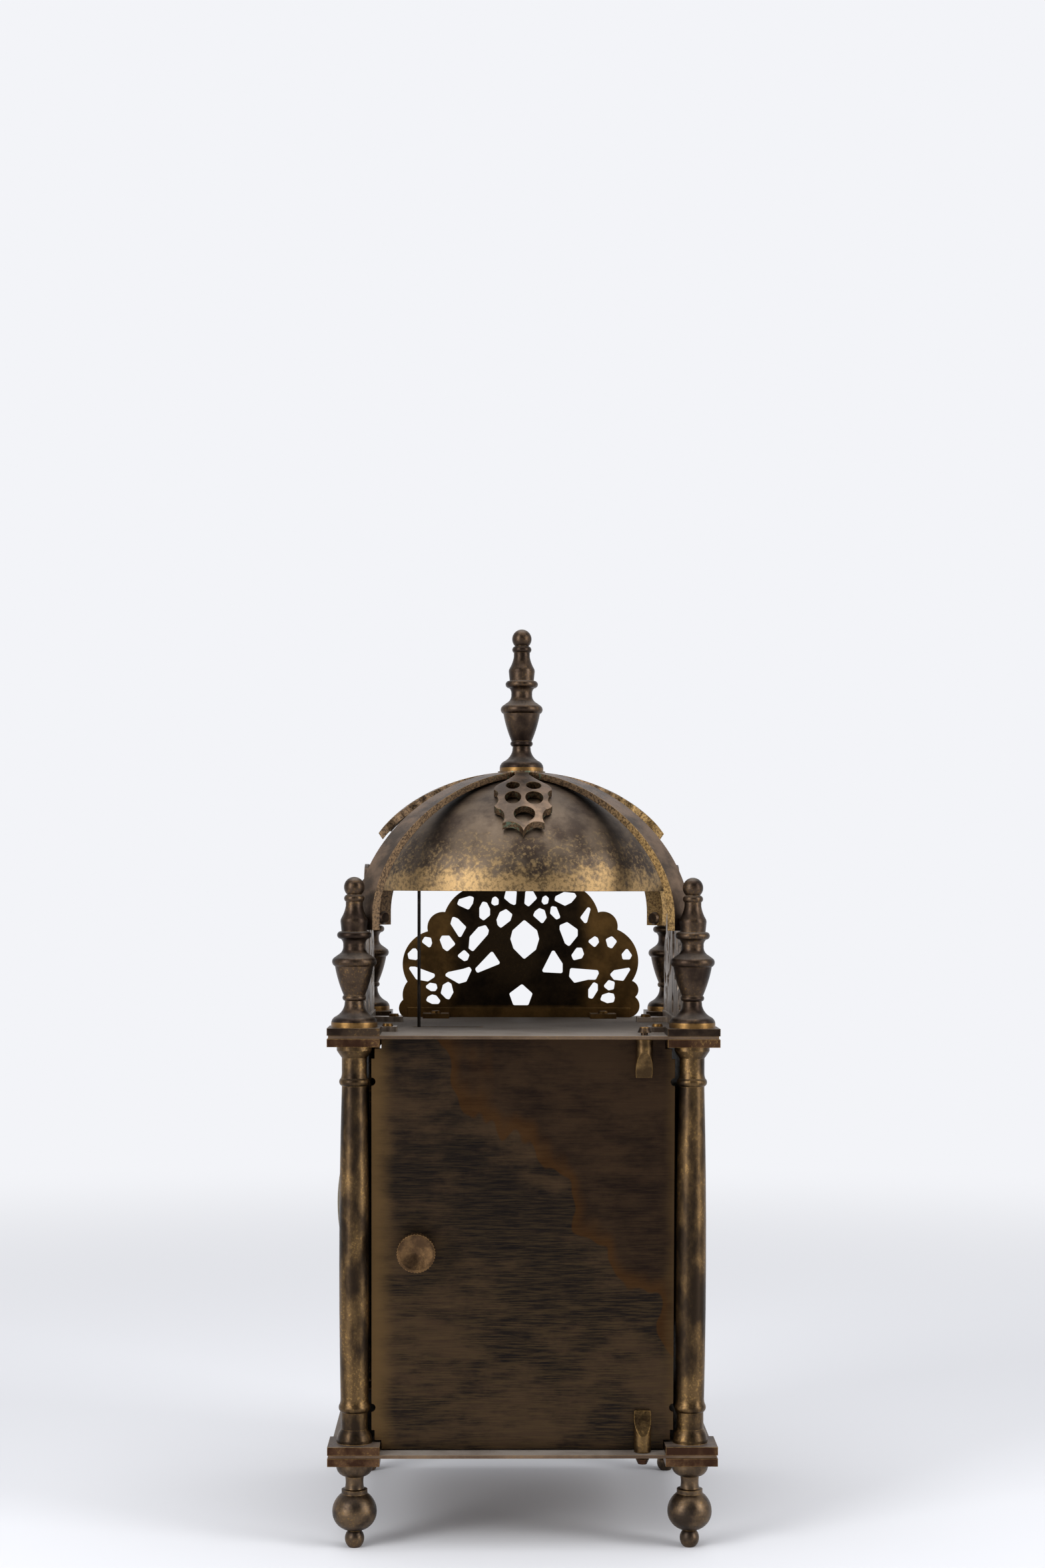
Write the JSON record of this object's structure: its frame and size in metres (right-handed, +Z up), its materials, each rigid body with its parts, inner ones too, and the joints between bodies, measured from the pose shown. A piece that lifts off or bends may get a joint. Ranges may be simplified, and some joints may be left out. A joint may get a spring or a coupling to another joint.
{
  "type": "lantern clock",
  "caption": "Brass lantern clock on ball feet, with turned posts, finials, pierced frets, hinged doors and a bell under crossed straps that a hammer strikes.",
  "frame": {"origin": "on the floor, midway between the four ball feet", "axes": "+Z up, the dial faces -Y, the hinged back door faces +Y, +X to the right as seen from the dial"},
  "size_m": [0.1706, 0.17, 0.3881],
  "materials": {
    "case_brass": "aged, brown patina with worn golden edges",
    "bell_brass": "aged, dark patina with gold speckle near the rim",
    "knob_bronze": "worn satin bronze",
    "movement_brass": "satin",
    "dial_brass": "satin, aged",
    "steel": "satin",
    "dark_iron": "blackened"
  },
  "bodies": {
    "case": {"ball_feet": "case_brass", "bottom_plate": "case_brass", "post_front_left": "case_brass", "post_front_right": "case_brass", "post_rear_left": "case_brass", "post_rear_right": "case_brass", "top_plate": "case_brass", "corner_finials": "case_brass", "crown_finial": "case_brass", "crown_straps": "case_brass", "strap_screws": "knob_bronze", "bell": "bell_brass", "bell_nut": "movement_brass", "front_fret": "case_brass", "left_fret": "case_brass", "right_fret": "case_brass", "fret_screws": "steel", "dial_plate": "dial_brass", "chapter_ring": "dial_brass", "hinge_screws": "steel", "front_frame_plate": "movement_brass", "rear_frame_plate": "movement_brass", "frame_pillars": "movement_brass", "pillar_nuts": "steel", "frame_brackets": "movement_brass", "bracket_screws": "steel", "winding_arbors": "steel", "back_cock": "movement_brass", "cock_screws": "steel"},
    "back_door": {"back_door": "case_brass", "hinge_pegs": "case_brass"},
    "back_knob": {"back_knob": "knob_bronze", "back_latch": "steel"},
    "left_door": {"left_side_door": "case_brass", "left_door_knob": "knob_bronze"},
    "right_door": {"right_side_door": "case_brass", "right_door_knob": "knob_bronze"},
    "centre": {"centre_wheel": "movement_brass", "cannon_pinion": "movement_brass", "minute_hand": "dark_iron", "hand_nut": "steel"},
    "going_barrel": {"going_barrel": "movement_brass"},
    "third": {"third_wheel": "movement_brass"},
    "escape": {"escape_wheel": "movement_brass"},
    "minute_wheel": {"minute_wheel": "movement_brass"},
    "hour": {"hour_wheel": "movement_brass", "hour_hand": "dark_iron"},
    "pendulum": {"suspension_spring": "steel", "pendulum_rod": "steel", "pendulum_bob": "movement_brass", "rating_nut": "movement_brass"},
    "pallets": {"pallet_anchor": "steel", "crutch": "steel"},
    "strike_barrel": {"strike_barrel": "movement_brass"},
    "pin_wheel": {"pin_wheel": "movement_brass"},
    "fly": {"fly": "movement_brass"},
    "hammer": {"hammer_stem": "dark_iron", "hammer_head": "steel"}
  },
  "joints": [
    {"name": "back_door_hinge", "type": "hinge", "parent": "case", "child": "back_door", "pos_m": [-0.0499, 0.0742, 0.1269], "axis": [0, 0, 1], "range_deg": [0, 105]},
    {"name": "knob_turn", "type": "hinge", "parent": "back_door", "child": "back_knob", "pos_m": [0.0441, 0.0711, 0.125], "axis": [0, -1, 0], "range_deg": [0, 90]},
    {"name": "right_door_hinge", "type": "hinge", "parent": "case", "child": "right_door", "pos_m": [0.0727, -0.0499, 0.1269], "axis": [0, 0, -1], "range_deg": [0, 100]},
    {"name": "left_door_hinge", "type": "hinge", "parent": "case", "child": "left_door", "pos_m": [-0.0727, -0.0499, 0.1269], "axis": [0, 0, 1], "range_deg": [0, 100]},
    {"name": "minute_turn", "type": "hinge", "parent": "case", "child": "centre", "pos_m": [0, -0.07, 0.126], "axis": [0, 1, 0], "continuous": true},
    {"name": "going_barrel_turn", "type": "hinge", "parent": "case", "child": "going_barrel", "pos_m": [-0.02206, -0.036, 0.10394], "axis": [0, 1, 0], "continuous": true},
    {"name": "third_turn", "type": "hinge", "parent": "case", "child": "third", "pos_m": [-0.016, -0.02, 0.14217], "axis": [0, 1, 0], "continuous": true},
    {"name": "escape_turn", "type": "hinge", "parent": "case", "child": "escape", "pos_m": [0, -0.01, 0.15223], "axis": [0, 1, 0], "continuous": true},
    {"name": "minute_wheel_turn", "type": "hinge", "parent": "case", "child": "minute_wheel", "pos_m": [0.01039, -0.058, 0.12], "axis": [0, 1, 0], "continuous": true},
    {"name": "hour_turn", "type": "hinge", "parent": "case", "child": "hour", "pos_m": [0, -0.07, 0.126], "axis": [0, 1, 0], "continuous": true},
    {"name": "pendulum_swing", "type": "hinge", "parent": "case", "child": "pendulum", "pos_m": [0, 0.026, 0.172], "axis": [0, 1, 0], "range_deg": [-3, 3]},
    {"name": "pallet_swing", "type": "hinge", "parent": "case", "child": "pallets", "pos_m": [0, -0.01, 0.172], "axis": [0, 1, 0], "range_deg": [-3, 3]},
    {"name": "strike_barrel_turn", "type": "hinge", "parent": "case", "child": "strike_barrel", "pos_m": [0.026, -0.036, 0.084], "axis": [0, 1, 0], "continuous": true},
    {"name": "pin_wheel_turn", "type": "hinge", "parent": "case", "child": "pin_wheel", "pos_m": [0.02218, -0.02, 0.10567], "axis": [0, 1, 0], "continuous": true},
    {"name": "fly_turn", "type": "hinge", "parent": "case", "child": "fly", "pos_m": [0.03118, -0.02, 0.12125], "axis": [0, 1, 0], "continuous": true},
    {"name": "hammer_swing", "type": "hinge", "parent": "case", "child": "hammer", "pos_m": [0.0446, -0.003, 0.112], "axis": [0, 1, 0], "range_deg": [-15, 1.2], "stiffness_Nm_per_rad": 0.08}
  ],
  "couplings": [
    {"joint": "going_barrel_turn", "follows": "minute_turn", "ratio": -0.083333},
    {"joint": "third_turn", "follows": "minute_turn", "ratio": -12},
    {"joint": "escape_turn", "follows": "minute_turn", "ratio": 132},
    {"joint": "minute_wheel_turn", "follows": "minute_turn", "ratio": -0.33333},
    {"joint": "hour_turn", "follows": "minute_turn", "ratio": 0.083333},
    {"joint": "pallet_swing", "follows": "pendulum_swing", "ratio": 1},
    {"joint": "pin_wheel_turn", "follows": "strike_barrel_turn", "ratio": -9},
    {"joint": "fly_turn", "follows": "strike_barrel_turn", "ratio": 72}
  ]
}
